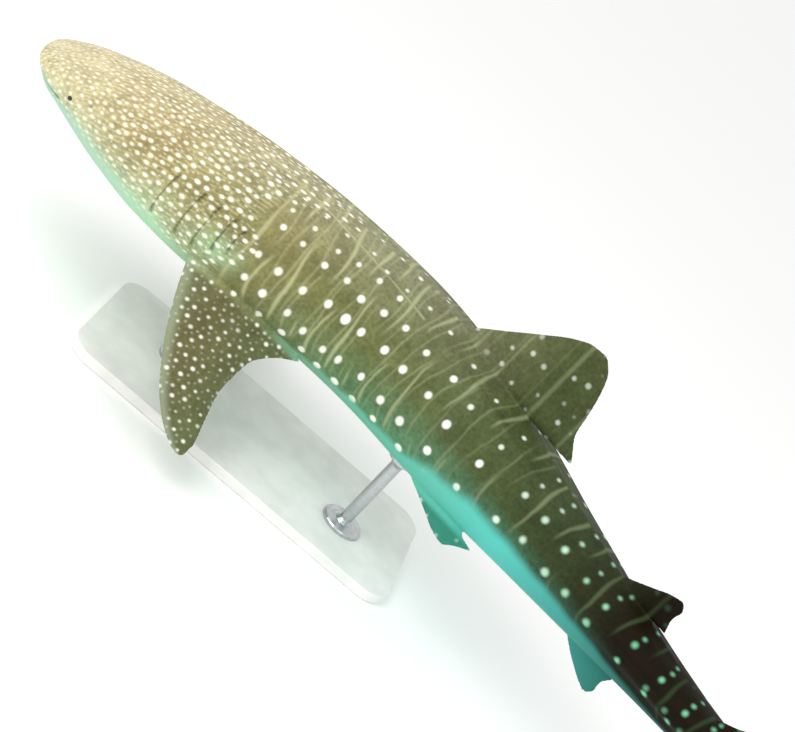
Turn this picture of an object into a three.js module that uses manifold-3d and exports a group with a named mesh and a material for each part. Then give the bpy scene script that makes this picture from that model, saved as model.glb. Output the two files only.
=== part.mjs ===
// Whale shark, life size and whole, swimming level on a low display stand.
// Millimetres, +Z up. The head points to -X, and the tail swings to -Y, the animal's left.
// Shares of the body are in per cent of the whole length: station along the body from the
// snout, then height above the body's axis, then distance out to one side.
import * as THREE from 'three';
import { mergeVertices } from 'three/addons/utils/BufferGeometryUtils.js';
import Module from 'manifold-3d';

const wasm = await Module();
wasm.setup();

// Driving sizes
const LENGTH = 6000;
const PC = LENGTH / 100;
const AXIS_HEIGHT = 950;
const BALANCE_STATION = 34.3;
const BALANCE_SIDE = 60;
const GAP = 0.3;
const DEG = Math.PI / 180;

// The swimming bend: straight head and trunk, tail swung to the left, caudal fin lagging
const BEND = 27.5 * DEG;
const BEND_FROM = 28;
const BEND_TO = 49.5;
const LAG = 12 * DEG;
const LAG_FROM = 77;
const LAG_TO = 96;

// Body outline: station, top, bottom, half width
const BODY = [
  [-0.6, 0.3, -0.12, 1.3],
  [-0.35, 0.62, -0.42, 2.4],
  [0.1, 0.92, -0.74, 3.3],
  [0.8, 1.25, -1.15, 4.05],
  [2.0, 1.95, -1.9, 4.75],
  [5.0, 3.15, -3.1, 5.6],
  [9.0, 4.35, -4.4, 6.3],
  [14.0, 5.25, -5.45, 6.8],
  [20.0, 5.9, -5.85, 7.05],
  [28.0, 6.35, -5.75, 7.1],
  [36.0, 6.35, -5.8, 6.85],
  [44.0, 5.95, -5.75, 6.4],
  [52.0, 5.05, -5.2, 5.5],
  [60.0, 3.85, -4.25, 4.35],
  [68.0, 2.85, -3.2, 3.4],
  [75.0, 2.2, -2.25, 2.75],
  [79.0, 2.0, -1.75, 2.45],
  [82.0, 2.1, -1.4, 1.6],
  [84.6, 2.1, -0.7, 0.8],
  [86.0, 1.7, 0.1, 0.3],
];
const ROUNDNESS = 2.3;
const BODY_START = -0.6;
const BODY_END = 86;

// Ridges along each side, from the caudal keel up: stations, angles above the side, heights
const RIDGE_HALF_ANGLE = 3;
const RIDGES = [
  { at: [18, 50, 66, 79], angle: [8, 4, 4, 6], height: [0, 0.16, 0.5, 0.75], fade: [22, 84] },
  { at: [18, 40, 66, 80], angle: [36, 30, 28, 28], height: [0.12, 0.2, 0.14, 0], fade: [16, 72] },
  { at: [12, 22, 36, 66], angle: [72, 66, 60, 58], height: [0.08, 0.2, 0.2, 0.1], fade: [11, 68] },
];
const SPINE_RIDGE = { height: 0.16, fade: [12, 76] };
const SEGMENTS_BETWEEN = [7, 2, 2, 2];

// Gill slits
const GILLS = [15.0, 17.6, 19.3, 20.9, 22.1];
const GILL_ANGLES = [[-30, 20], [-27, 21], [-24, 22], [-15, 21], [-7, 18]];
const GILL_WIDTH = 9;
const GILL_DEPTH = 30;
const FLAP_RISE = 9;
const FLAP_RUN = 1.3;

// Mouth, lips and nostrils
const MOUTH_CORNER = 3.3;
const MOUTH_LEVEL = -0.1;
const MOUTH_DROP = 0.8;
const MOUTH_GAP_FRONT = 15;
const MOUTH_GAP_CORNER = 6;
const MOUTH_DEPTH = 48;
const LIP_RADIUS = 15;
const LIP_PROUD = 6;
const NOSTRIL = { bearing: 52, level: 0.55, length: 30, height: 11, depth: 12 };
const BARBEL = { bearing: 44, length: 34, radius: 8 };

// Eyes and spiracles
const EYE = { station: 4.14, level: 0.02, radius: 22, proud: 9 };
const LID_RADIUS = 20.5;
const LID_THICKNESS = 6.5;
const SPIRACLE = { station: 5.9, angle: 10, length: 15, height: 9, depth: 13 };

// Where the body is parted
const HEAD_END = 23.2;
const TRUNK_END = 57.5;
const TAIL_END = 79.6;

// Stand
const BASE = { length: 2100, width: 1000, thickness: 60, corner: 140, bevel: 8 };
const ROD = { radius: 36, foot: 120, footThickness: 24, pad: 78, padThickness: 46 };
const ROD_STATIONS = { front: 25, rear: 45.5 };

// Colours
const skin = (color, roughness = 0.55) => new THREE.MeshStandardMaterial({ color, roughness, metalness: 0 });
const HEAD_SKIN = skin(0xa9a072);
const TRUNK_SKIN = skin(0x6b6a44);
const TAIL_SKIN = skin(0x2f3326);
const FIN_SKIN = skin(0x5c6146);
const EYE_BLACK = skin(0x0b0b0c, 0.08);
const BASE_PAINT = skin(0xd9d6cf, 0.6);
const ROD_STEEL = new THREE.MeshStandardMaterial({ color: 0xb8bcc0, roughness: 0.32, metalness: 1 });

// Curves through stations
const clamp = (x, low, high) => Math.min(high, Math.max(low, x));
const smooth = (x, from, to) => {
  const t = clamp((x - from) / (to - from), 0, 1);
  return t * t * (3 - 2 * t);
};

// Value at x of the monotone cubic through the points (xs, ys)
function through(xs, ys, x) {
  const last = xs.length - 1;
  const slope = (i) => (ys[i + 1] - ys[i]) / (xs[i + 1] - xs[i]);
  const tangent = (i) => {
    if (i === 0) return slope(0);
    if (i === last) return slope(last - 1);
    const before = slope(i - 1);
    const after = slope(i);
    if (before * after <= 0) return 0;
    const runBefore = xs[i] - xs[i - 1];
    const runAfter = xs[i + 1] - xs[i];
    const w1 = 2 * runAfter + runBefore;
    const w2 = runAfter + 2 * runBefore;
    return (w1 + w2) / (w1 / before + w2 / after);
  };
  const at = clamp(x, xs[0], xs[last]);
  let i = 0;
  while (i < last - 1 && at > xs[i + 1]) i += 1;
  const run = xs[i + 1] - xs[i];
  const t = (at - xs[i]) / run;
  return ys[i] * (1 + 2 * t) * (1 - t) ** 2 + tangent(i) * run * t * (1 - t) ** 2
    + ys[i + 1] * t * t * (3 - 2 * t) + tangent(i + 1) * run * t * t * (t - 1);
}

const column = (k) => BODY.map((row) => row[k]);
const [STATION, TOP, BOTTOM, HALF] = [0, 1, 2, 3].map(column);
const topAt = (s) => through(STATION, TOP, s) * PC;
const bottomAt = (s) => through(STATION, BOTTOM, s) * PC;
const halfAt = (s) => through(STATION, HALF, s) * PC;

// Centre line of the body, stepped along its bend
const heading = (s) => -BEND * smooth(s, BEND_FROM, BEND_TO) + LAG * smooth(s, LAG_FROM, LAG_TO);
const LINE_STEP = 0.25;
const LINE = [new THREE.Vector2(0, 0)];
for (let s = 0; s < 104; s += LINE_STEP) {
  const turn = heading(s + LINE_STEP / 2);
  const step = new THREE.Vector2(Math.cos(turn), Math.sin(turn)).multiplyScalar(LINE_STEP * PC);
  LINE.push(LINE[LINE.length - 1].clone().add(step));
}

function centre(s) {
  const k = clamp(s / LINE_STEP, 0, LINE.length - 2);
  const i = Math.floor(k);
  return LINE[i].clone().lerp(LINE[i + 1], k - i);
}
const ORIGIN = centre(BALANCE_STATION);

// A point beside the centre line: side is millimetres to the animal's left, z above the axis
function place(s, side, z) {
  const turn = heading(s);
  const c = centre(Math.max(s, 0)).sub(ORIGIN);
  const ahead = Math.min(s, 0) * PC;
  return new THREE.Vector3(
    c.x + side * Math.sin(turn) + ahead,
    c.y - side * Math.cos(turn) + BALANCE_SIDE,
    z + AXIS_HEIGHT,
  );
}

// Skin of the body
const fade = (s, [from, to], run = 4) => smooth(s, from, from + run) * (1 - smooth(s, to - run, to));

// Rise of the gill flaps in front of each slit
function flapRise(s, angle) {
  let rise = 0;
  GILLS.forEach((gill, i) => {
    const [low, high] = GILL_ANGLES[i];
    const run = (s - gill) / FLAP_RUN + 1;
    if (run < 0 || s > gill) return;
    const across = smooth(angle, low - 14, low + 4) * (1 - smooth(angle, high - 4, high + 14));
    rise = Math.max(rise, FLAP_RISE * run * run * across);
  });
  return rise;
}

// Point of the skin at a station and an angle above the left side, pushed out by rise
function skinPoint(s, angle, rise = 0) {
  const c = Math.cos(angle * DEG);
  const d = Math.sin(angle * DEG);
  const power = 2 / ROUNDNESS;
  const out = rise + flapRise(s, angle > 90 ? 180 - angle : angle);
  const high = d >= 0 ? topAt(s) + out : -bottomAt(s) + out;
  return place(
    s,
    Math.sign(c) * Math.abs(c) ** power * (halfAt(s) + out),
    Math.sign(d) * Math.abs(d) ** power * high,
  );
}

// Angles and rises round the left half of one section, from the belly to the back
function halfSection(s) {
  const ridges = RIDGES.map(({ at, angle, height, fade: ends }) => ({
    angle: through(at, angle, s),
    height: through(at, height, s) * fade(s, ends) * PC,
  }));
  ridges.push({ angle: 90, height: SPINE_RIDGE.height * fade(s, SPINE_RIDGE.fade) * PC });
  const spots = [];
  let from = -90;
  ridges.forEach((ridge, i) => {
    const to = ridge.angle - RIDGE_HALF_ANGLE;
    const count = SEGMENTS_BETWEEN[i];
    for (let k = 0; k < count; k += 1) {
      spots.push({ angle: from + ((to - from) * k) / count, rise: 0 });
    }
    spots.push({ angle: to, rise: 0 });
    spots.push({ angle: ridge.angle, rise: ridge.height });
    from = ridge.angle + RIDGE_HALF_ANGLE;
  });
  return spots;
}

function section(s, grow = 0) {
  const left = halfSection(s);
  const right = left.slice(1, -1).reverse().map(({ angle, rise }) => ({ angle: 180 - angle, rise }));
  return [...left, ...right].map(({ angle, rise }) => skinPoint(s, angle, rise + grow));
}

// Stations of the sections, close at the snout and at each slit, wide along the trunk
function stations() {
  const list = [BODY_START, BODY_START + 0.1, BODY_START + 0.25, 0];
  for (let s = 0.5; s < 5; s += 0.5) list.push(s);
  for (let s = 5; s < GILLS[0] - FLAP_RUN; s += 1.45) list.push(s);
  for (const gill of GILLS) list.push(gill - FLAP_RUN / 2, gill, gill + 0.07);
  for (let s = 24; s < 78; s += 2.2) list.push(s);
  for (let s = 78.4; s < BODY_END; s += 1.3) list.push(s);
  list.push(BODY_END);
  list.sort((a, b) => a - b);
  return list.filter((s, i) => i === 0 || s - list[i - 1] > 0.06);
}

// Solids
function signedVolume(points, faces) {
  let total = 0;
  for (let i = 0; i < faces.length; i += 3) {
    const [a, b, c] = [points[faces[i]], points[faces[i + 1]], points[faces[i + 2]]];
    total += a.dot(new THREE.Vector3().crossVectors(b, c));
  }
  return total;
}

// Closed surface through rings of equal count, each laid out so that points i and
// count - i face one another. Both halves are split into triangles alike.
function loft(rings) {
  const n = rings[0].length;
  const half = n / 2;
  const points = rings.flat();
  const faces = [];
  for (let i = 0; i + 1 < rings.length; i += 1) {
    for (let j = 0; j < n; j += 1) {
      const a = i * n + j;
      const b = i * n + ((j + 1) % n);
      if (j < half) faces.push(a, b, b + n, a, b + n, a + n);
      else faces.push(a, b, a + n, b, b + n, a + n);
    }
  }
  const cap = (first, flip) => {
    const push = (a, b, c) => faces.push(first + a, first + (flip ? c : b), first + (flip ? b : c));
    push(0, n - 1, 1);
    for (let j = 1; j < half - 1; j += 1) {
      push(j, n - j, j + 1);
      push(n - j, n - j - 1, j + 1);
    }
    push(half - 1, half + 1, half);
  };
  cap(0, false);
  cap((rings.length - 1) * n, true);
  if (signedVolume(points, faces) < 0) {
    for (let i = 0; i < faces.length; i += 3) [faces[i], faces[i + 1]] = [faces[i + 1], faces[i]];
  }
  const geometry = new THREE.BufferGeometry().setFromPoints(points);
  geometry.setIndex(faces);
  return geometry;
}

function solid(geometry) {
  const bare = geometry.clone();
  bare.deleteAttribute('normal');
  bare.deleteAttribute('uv');
  const merged = mergeVertices(bare, 1e-4);
  return new wasm.Manifold(new wasm.Mesh({
    numProp: 3,
    vertProperties: new Float32Array(merged.attributes.position.array),
    triVerts: new Uint32Array(merged.index.array),
  }));
}

const union = (solids) => solids.reduce((all, next) => all.add(next));
const without = (body, cutters) => cutters.reduce((rest, cutter) => rest.subtract(cutter), body);

function largest(body) {
  return body.decompose().sort((a, b) => b.volume() - a.volume())[0];
}

// Joins corners that lie closer than a hundredth, and drops the faces this closes up
function tidy(geometry) {
  const merged = mergeVertices(geometry, 0.01);
  const corners = merged.index.array;
  const kept = [];
  for (let i = 0; i < corners.length; i += 3) {
    const [a, b, c] = corners.slice(i, i + 3);
    if (a !== b && b !== c && c !== a) kept.push(a, b, c);
  }
  merged.setIndex(kept);
  return merged;
}

const model = new THREE.Group();
function show(name, body, material) {
  const kept = largest(body).getMesh();
  const geometry = new THREE.BufferGeometry();
  geometry.setAttribute('position', new THREE.BufferAttribute(new Float32Array(kept.vertProperties), 3));
  geometry.setIndex(new THREE.BufferAttribute(new Uint32Array(kept.triVerts), 1));
  const clean = tidy(geometry);
  clean.computeVertexNormals();
  const mesh = new THREE.Mesh(clean, material);
  mesh.name = name;
  model.add(mesh);
}

// A block that fills one side of the cut at a station, and half of the gap
function beyond(s, towardsTail) {
  const size = 9000;
  const block = new THREE.BoxGeometry(size, size, size);
  const shift = (size / 2 - GAP / 2) * (towardsTail ? 1 : -1);
  block.translate(shift, 0, 0);
  block.rotateZ(heading(s));
  const at = place(s, 0, 0);
  block.translate(at.x, at.y, at.z);
  return solid(block);
}

// An ellipsoid with its axes along and across the body, centred at a point
function ellipsoid(at, turn, radii, across = 16, down = 10) {
  const ball = new THREE.SphereGeometry(1, across, down);
  ball.rotateX(90 * DEG);
  ball.scale(...radii);
  ball.rotateZ(turn);
  ball.translate(at.x, at.y, at.z);
  return ball;
}

// Gill slits: a blade along each slit that leans forward under its flap
function gillSlit(index, mirror) {
  const steps = 8;
  const [low, high] = GILL_ANGLES[index];
  const rings = [];
  for (let k = 0; k <= steps; k += 1) {
    const t = k / steps;
    const angle = low + (high - low) * t;
    const open = Math.sqrt(1 - (2 * t - 1) ** 2) + 0.12;
    const wide = (GILL_WIDTH / PC) * open;
    const deep = GILL_DEPTH * (0.35 + 0.65 * open);
    const at = (shift, rise) => skinPoint(GILLS[index] + shift, mirror ? 180 - angle : angle, rise);
    rings.push([
      at(-wide * 0.1, 20),
      at(-wide * 0.9, -deep),
      at(-wide * 0.5, -deep),
      at(wide * 0.9, 20),
    ]);
  }
  return solid(loft(rings));
}

// Mouth: a line round the front of the snout that drops towards its corners
const inside = (s, side, z) => {
  if (s < BODY_START) return false;
  const high = z >= 0 ? topAt(s) : bottomAt(s);
  return Math.abs(side / halfAt(s)) ** ROUNDNESS + Math.abs(z / high) ** ROUNDNESS < 1;
};

// Point at a bearing from straight ahead and a height, inset from the skin
function rim(bearing, z, inset) {
  const reach = (d) => [MOUTH_CORNER - (d * Math.cos(bearing * DEG)) / PC, d * Math.sin(bearing * DEG)];
  let near = 0;
  let far = 8 * PC;
  for (let i = 0; i < 40; i += 1) {
    const middle = (near + far) / 2;
    if (inside(...reach(middle), z)) near = middle;
    else far = middle;
  }
  return place(...reach(near - inset), z);
}

const lineLevel = (bearing) => (MOUTH_LEVEL - MOUTH_DROP * Math.sin(Math.abs(bearing) * DEG) ** 3) * PC;
const MOUTH_STEPS = 24;
const bearings = Array.from({ length: MOUTH_STEPS + 1 }, (_, k) => -90 + (180 * k) / MOUTH_STEPS);

function mouthGroove() {
  const rings = bearings.map((bearing) => {
    const aside = Math.abs(bearing) / 90;
    const open = THREE.MathUtils.lerp(MOUTH_GAP_FRONT, MOUTH_GAP_CORNER, aside ** 2) / 2;
    const deep = MOUTH_DEPTH * (1 - 0.75 * aside ** 6);
    const level = lineLevel(bearing);
    const outer = rim(bearing, level, -40);
    const inner = rim(bearing, level, deep);
    const lift = (point, dz) => point.clone().setZ(point.z + dz);
    return [lift(outer, open), lift(outer, -open), lift(inner, -open / 2), lift(inner, open / 2)];
  });
  return solid(loft(rings));
}

// A tube of six sides through centres, with a radius for each
function tube(centres, radii) {
  const sides = 6;
  const rings = centres.map((at, i) => {
    const before = centres[Math.max(i - 1, 0)];
    const after = centres[Math.min(i + 1, centres.length - 1)];
    const along = after.clone().sub(before).normalize();
    const up = new THREE.Vector3(0, 0, 1).addScaledVector(along, -along.z).normalize();
    const aside = new THREE.Vector3().crossVectors(along, up);
    return Array.from({ length: sides }, (_, k) => {
      const turn = (2 * Math.PI * k) / sides;
      return at.clone()
        .addScaledVector(up, radii[i] * Math.cos(turn))
        .addScaledVector(aside, radii[i] * Math.sin(turn));
    });
  });
  return solid(loft(rings));
}

function lip(above) {
  const centres = bearings.map((bearing) => {
    const level = lineLevel(bearing) + above * LIP_RADIUS * 1.15;
    return rim(bearing, level, LIP_RADIUS - LIP_PROUD);
  });
  const radii = bearings.map((bearing) => LIP_RADIUS * (1 - 0.45 * (Math.abs(bearing) / 90) ** 4));
  return tube(centres, radii);
}

// Nostrils, each with a short barbel on its inner side that hangs over the upper lip
function nostril(mirror) {
  const bearing = NOSTRIL.bearing * mirror;
  const at = rim(bearing, NOSTRIL.level * PC, 0);
  const turn = (mirror * (90 - NOSTRIL.bearing) - 90 * mirror) * DEG;
  return solid(ellipsoid(at, turn + 90 * DEG, [NOSTRIL.length / 2, NOSTRIL.depth, NOSTRIL.height / 2], 12, 8));
}

function barbel(mirror) {
  const bearing = BARBEL.bearing * mirror;
  const steps = [0, 0.35, 0.7, 1];
  const centres = steps.map((t) => rim(bearing, (NOSTRIL.level * PC) - BARBEL.length * t, 5 - 9 * t));
  const radii = steps.map((t) => BARBEL.radius * (1 - 0.72 * t));
  const sides = 6;
  const rings = centres.map((c, i) => Array.from({ length: sides }, (_, k) => {
    const turn = (2 * Math.PI * k) / sides;
    return c.clone().add(new THREE.Vector3(Math.cos(turn), Math.sin(turn), 0).multiplyScalar(radii[i]));
  }));
  return solid(loft(rings));
}

// Eyes: a ball in a socket with a ring of skin round its opening
function eyeCentre(mirror) {
  return place(EYE.station, mirror * (halfAt(EYE.station) - EYE.radius + EYE.proud), EYE.level * PC);
}
const eyeBall = (mirror, grow = 0) => solid(ellipsoid(
  eyeCentre(mirror), 0, Array(3).fill(EYE.radius + grow), 16, 10,
));

function lid(mirror) {
  const ring = new THREE.TorusGeometry(LID_RADIUS, LID_THICKNESS, 6, 20);
  ring.rotateX(90 * DEG);
  const at = place(EYE.station, mirror * (halfAt(EYE.station) - 1), EYE.level * PC);
  ring.translate(at.x, at.y, at.z);
  return solid(ring);
}

function spiracle(mirror) {
  const at = skinPoint(SPIRACLE.station, mirror > 0 ? SPIRACLE.angle : 180 - SPIRACLE.angle);
  return solid(ellipsoid(at, 0, [SPIRACLE.length, SPIRACLE.depth, SPIRACLE.height], 12, 8));
}

// Fins
// A fin is a stack of rows from its root to its tip. Each row runs from the leading to the
// trailing edge with a round nose and a fine rear edge. lay puts (along, out, thick) in place.
const CHORD_STEPS = 7;
function finSolid({ leading, trailing, half, steps, lay }) {
  const curve = (list) => new THREE.CatmullRomCurve3(
    list.map(([u, v]) => new THREE.Vector3(u, v, 0)), false, 'centripetal',
  );
  const front = curve(leading);
  const rear = curve(trailing);
  const rings = [];
  for (let i = 0; i <= steps; i += 1) {
    const t = i / steps;
    const a = front.getPoint(t);
    const b = rear.getPoint(t);
    const ring = [];
    for (let j = 0; j < 2 * CHORD_STEPS; j += 1) {
      const k = j <= CHORD_STEPS ? j : 2 * CHORD_STEPS - j;
      const x = (1 - Math.cos((Math.PI * k) / CHORD_STEPS)) / 2;
      const edge = k === 0 || k === CHORD_STEPS ? 0 : 1;
      const thick = edge * half(t) * (2.6 * Math.sqrt(x) * (1 - x) + 0.08);
      const point = a.clone().lerp(b, x);
      ring.push(lay(point.x, point.y, j <= CHORD_STEPS ? thick : -thick));
    }
    rings.push(ring);
  }
  return solid(loft(rings));
}

// Fins that stand in the middle plane of the body: along is a station, out a height
const upright = (u, v, w) => place(u, w, v * PC);

// Paired fins lie in a plane that hangs by droop, from a root line that falls to the rear
const paired = ({ side, z, at, pitch, droop }, mirror) => (u, v, w) => place(
  u,
  mirror * (side * PC + v * PC * Math.cos(droop) + w * Math.sin(droop)),
  (z + (at - u) * pitch) * PC - v * PC * Math.sin(droop) + w * Math.cos(droop),
);

// Half thickness that swells into the body at the root and thins to the tip
const taper = (root, tip, flare, run) => (t) => {
  const plain = tip + (root - tip) * (1 - t) ** 1.2;
  return plain + flare * Math.max(0, 1 - t / run) ** 2;
};

const FIRST_DORSAL = {
  leading: [[41.0, 4.6], [41.6, 6.4], [42.6, 7.35], [44.4, 8.95], [46.7, 11.05], [48.9, 12.95], [50.6, 13.95], [51.9, 14.2]],
  trailing: [[50.2, 4.3], [50.9, 5.35], [56.4, 5.85], [54.9, 7.9], [54.5, 9.8], [54.0, 11.7], [53.3, 13.3], [52.3, 14.15]],
  half: taper(32, 7, 34, 0.3),
  steps: 15,
  lay: upright,
};
const SECOND_DORSAL = {
  leading: [[65.4, 2.2], [66.0, 3.2], [67.2, 3.95], [68.6, 4.8], [69.9, 5.6], [70.9, 6.0]],
  trailing: [[69.3, 2.1], [69.7, 2.85], [71.9, 3.05], [71.5, 4.4], [71.65, 5.3], [71.3, 5.95]],
  half: taper(15, 4, 22, 0.35),
  steps: 11,
  lay: upright,
};
const ANAL = {
  leading: [[65.5, -2.4], [66.1, -3.55], [67.2, -4.35], [68.5, -5.05], [69.8, -5.6], [70.6, -5.85]],
  trailing: [[69.2, -2.0], [69.7, -2.95], [71.8, -3.15], [71.3, -4.2], [71.4, -5.1], [71.0, -5.8]],
  half: taper(14, 4, 18, 0.35),
  steps: 11,
  lay: upright,
};
const PECTORAL_ROOT = { side: 5.2, z: -3.6, at: 26, pitch: 0.07, droop: 37 * DEG };
const PECTORAL = {
  leading: [[19.2, -1.6], [19.9, 0.9], [20.6, 2.9], [21.8, 5.7], [23.5, 8.9], [25.6, 11.8], [27.5, 13.5], [29.0, 14.3],
    [30.0, 14.4]],
  trailing: [[29.8, -1.6], [31.0, 0.1], [33.0, 0.5], [31.2, 1.8], [29.5, 4.2], [29.2, 7.5], [29.9, 10.6], [30.6, 12.9],
    [30.5, 14.1]],
  half: taper(46, 9, 44, 0.25),
  steps: 18,
};
const PELVIC_ROOT = { side: 2.9, z: -4.3, at: 50, pitch: 0.03, droop: 48 * DEG };
const PELVIC = {
  leading: [[47.4, -0.6], [48.2, 0.7], [49.8, 1.15], [51.6, 1.6], [53.2, 2.0], [54.2, 2.1]],
  trailing: [[54.4, -0.6], [55.2, 0.2], [56.6, 0.35], [55.8, 0.95], [55.2, 1.5], [54.8, 2.0]],
  half: taper(17, 4, 22, 0.35),
  steps: 11,
};
const UPPER_LOBE = {
  leading: [[78.8, 0.3], [79.4, 1.7], [81.6, 3.1], [84.8, 5.9], [88.6, 9.7], [92.8, 13.9], [97.0, 17.5], [99.6, 19.2]],
  trailing: [[85.9, -0.6], [86.8, 0.9], [87.9, 2.7], [89.8, 5.3], [92.4, 8.5], [95.4, 12.3], [98.4, 16.4], [99.9, 18.9]],
  half: taper(30, 7, 34, 0.28),
  steps: 17,
  lay: upright,
};
// The lobes lie a little to either side, so that their rear edges don't touch along a line
const LOBE_SHIFT = 1.3;
const LOWER_LOBE = {
  leading: [[78.9, 0.6], [79.6, -1.3], [81.4, -3.1], [83.4, -5.7], [85.2, -8.7], [86.6, -11.4], [87.5, -12.7]],
  trailing: [[86.3, 1.5], [86.7, 0.6], [86.2, -1.0], [86.1, -3.5], [86.7, -6.9], [87.4, -10.2], [87.9, -12.6]],
  half: taper(26, 6, 30, 0.3),
  steps: 13,
  lay: (u, v, w) => upright(u, v, w + LOBE_SHIFT),
};
const FORK_STATION = 86.8;
const FORK_HEIGHT = 0.75;

// The whole body, and a copy of it that is larger by the gap
const rings = (grow) => stations().map((s) => section(s, grow));
const body = solid(loft(rings(0)));
const bodyRoom = solid(loft(rings(GAP)));

// Head
const SIDES = [1, -1];
let head = body.subtract(beyond(HEAD_END, true));
head = union([head, lip(1), lip(-1), ...SIDES.map(lid), ...SIDES.map(barbel)]);
head = without(head, [
  mouthGroove(),
  ...SIDES.map(nostril),
  ...SIDES.map(spiracle),
  ...SIDES.map((mirror) => eyeBall(mirror, GAP)),
  ...GILLS.flatMap((_, i) => [gillSlit(i, false), gillSlit(i, true)]),
]);
show('head', head, HEAD_SKIN);
show('eye_left', eyeBall(1), EYE_BLACK);
show('eye_right', eyeBall(-1), EYE_BLACK);

// Trunk and tail
show('trunk', without(body, [beyond(HEAD_END, false), beyond(TRUNK_END, true)]), TRUNK_SKIN);
show('tail', without(body, [beyond(TRUNK_END, false), beyond(TAIL_END, true)]), TAIL_SKIN);

// Caudal fin, parted in two lobes from the peduncle to the fork
const caudal = union([body, finSolid(UPPER_LOBE), finSolid(LOWER_LOBE)]).subtract(beyond(TAIL_END, false));
function lobeCutter(above) {
  const reach = 40;
  const tilt = FORK_HEIGHT / (FORK_STATION - TAIL_END);
  const cutRings = [];
  for (let s = TAIL_END - 4; s < 106; s += 2) {
    const cut = (s - TAIL_END) * tilt * PC - (above ? 1 : -1) * (GAP / 2);
    const far = (above ? 1 : -1) * reach * PC;
    cutRings.push([
      place(s, -reach * PC * 0.25, cut),
      place(s, reach * PC * 0.25, cut),
      place(s, reach * PC * 0.25, far),
      place(s, -reach * PC * 0.25, far),
    ]);
  }
  return solid(loft(cutRings));
}
show('caudal_fin_upper', caudal.subtract(lobeCutter(false)), TAIL_SKIN);
show('caudal_fin_lower', caudal.subtract(lobeCutter(true)), TAIL_SKIN);

// Fins on the body
for (const [name, spec] of [
  ['dorsal_fin_first', FIRST_DORSAL],
  ['dorsal_fin_second', SECOND_DORSAL],
  ['anal_fin', ANAL],
]) {
  show(name, finSolid(spec).subtract(bodyRoom), FIN_SKIN);
}
for (const [side, mirror] of [['left', 1], ['right', -1]]) {
  for (const [name, root, spec] of [
    ['pectoral_fin', PECTORAL_ROOT, PECTORAL],
    ['pelvic_fin', PELVIC_ROOT, PELVIC],
  ]) {
    const fin = finSolid({ ...spec, lay: paired(root, mirror) });
    show(`${name}_${side}`, fin.subtract(bodyRoom), FIN_SKIN);
  }
}

// Stand: a flat base, and two rods whose padded tops are cut to the belly
function baseGeometry() {
  const { length, width, thickness, corner, bevel } = BASE;
  const x = length / 2 - bevel;
  const y = width / 2 - bevel;
  const r = corner;
  const outline = new THREE.Shape();
  outline.moveTo(-x + r, -y);
  outline.lineTo(x - r, -y);
  outline.absarc(x - r, -y + r, r, -Math.PI / 2, 0);
  outline.lineTo(x, y - r);
  outline.absarc(x - r, y - r, r, 0, Math.PI / 2);
  outline.lineTo(-x + r, y);
  outline.absarc(-x + r, y - r, r, Math.PI / 2, Math.PI);
  outline.lineTo(-x, -y + r);
  outline.absarc(-x + r, -y + r, r, Math.PI, Math.PI * 1.5);
  const plate = new THREE.ExtrudeGeometry(outline, {
    depth: thickness - 2 * bevel,
    bevelEnabled: true,
    bevelThickness: bevel,
    bevelSize: bevel,
    bevelSegments: 1,
    curveSegments: 7,
  });
  plate.translate(0, 0, bevel);
  return plate;
}
show('stand_base', solid(baseGeometry()), BASE_PAINT);

function rod(s) {
  const foot = place(s, 0, 0).setZ(BASE.thickness + GAP);
  const belly = AXIS_HEIGHT + bottomAt(s) - foot.z;
  const neck = belly - ROD.padThickness;
  const profile = [
    [0, 0], [ROD.foot, 0], [ROD.foot, ROD.footThickness * 0.7], [ROD.foot - 6, ROD.footThickness],
    [ROD.radius + 18, ROD.footThickness + 4], [ROD.radius, ROD.footThickness + 24],
    [ROD.radius, neck - 30], [ROD.radius + 12, neck - 8], [ROD.pad, neck + 8],
    [ROD.pad, belly + 40], [0, belly + 40],
  ].map(([r, z]) => new THREE.Vector2(r, z));
  const turned = new THREE.LatheGeometry(profile, 24);
  turned.rotateX(90 * DEG);
  turned.translate(foot.x, foot.y, foot.z);
  return solid(turned).subtract(bodyRoom);
}
show('stand_rod_front', rod(ROD_STATIONS.front), ROD_STEEL);
show('stand_rod_rear', rod(ROD_STATIONS.rear), ROD_STEEL);

export default model;
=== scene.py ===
"""Whale shark, life size, on a low display stand: skin, markings, eyes, stand, light and camera.

Lengths are in metres. Shares of the body are in per cent of the whole length, as in the solids.
"""
import math
import bpy
import numpy as np
from mathutils import Matrix, Vector


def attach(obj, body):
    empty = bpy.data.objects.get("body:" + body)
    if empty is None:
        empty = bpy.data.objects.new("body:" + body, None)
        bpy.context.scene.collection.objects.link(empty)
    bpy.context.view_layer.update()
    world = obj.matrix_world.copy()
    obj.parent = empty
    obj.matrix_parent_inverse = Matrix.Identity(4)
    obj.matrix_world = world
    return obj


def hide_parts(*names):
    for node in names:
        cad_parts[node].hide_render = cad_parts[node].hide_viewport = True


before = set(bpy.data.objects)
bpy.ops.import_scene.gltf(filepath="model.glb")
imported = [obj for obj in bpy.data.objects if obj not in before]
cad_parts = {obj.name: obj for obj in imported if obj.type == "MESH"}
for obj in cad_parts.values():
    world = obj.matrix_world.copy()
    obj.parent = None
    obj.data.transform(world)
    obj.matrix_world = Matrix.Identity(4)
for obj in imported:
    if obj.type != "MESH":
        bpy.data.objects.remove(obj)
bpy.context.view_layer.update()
RNG = np.random.default_rng(7)

# Driving sizes, the same as the solids'
LENGTH = 6.0
PC = LENGTH / 100
AXIS_HEIGHT = 0.95
BALANCE_STATION = 34.3
BALANCE_SIDE = 0.060
BEND = math.radians(27.5)
BEND_FROM, BEND_TO = 28.0, 49.5
LAG = math.radians(12)
LAG_FROM, LAG_TO = 77.0, 96.0

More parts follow.
